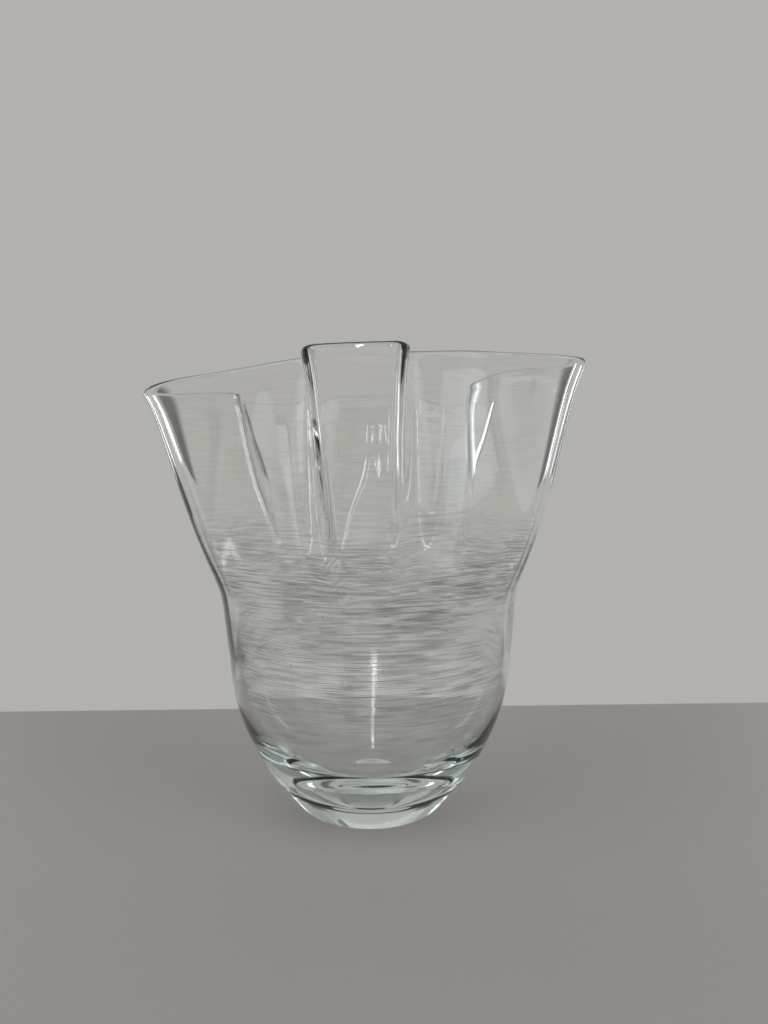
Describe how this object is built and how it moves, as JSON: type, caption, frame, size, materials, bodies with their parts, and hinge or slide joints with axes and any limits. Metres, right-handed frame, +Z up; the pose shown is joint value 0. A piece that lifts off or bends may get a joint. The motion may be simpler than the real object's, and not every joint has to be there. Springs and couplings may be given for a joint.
{
  "type": "handkerchief vase",
  "caption": "Clear hand-blown glass vase with a round bowl, a thick base and a wall folded out into lobes under a rounded, wavy rim.",
  "frame": {"origin": "on the surface the vase stands on, under the middle of its outline", "axes": "+Z up; -Y towards the front lobe, the one nearest the camera in the picture; +X to the right as seen from the front"},
  "size_m": [0.1628, 0.1664, 0.1715],
  "materials": {
    "glass": "clear, fire-polished"
  },
  "bodies": {
    "root": {"vase": "glass"}
  },
  "joints": []
}
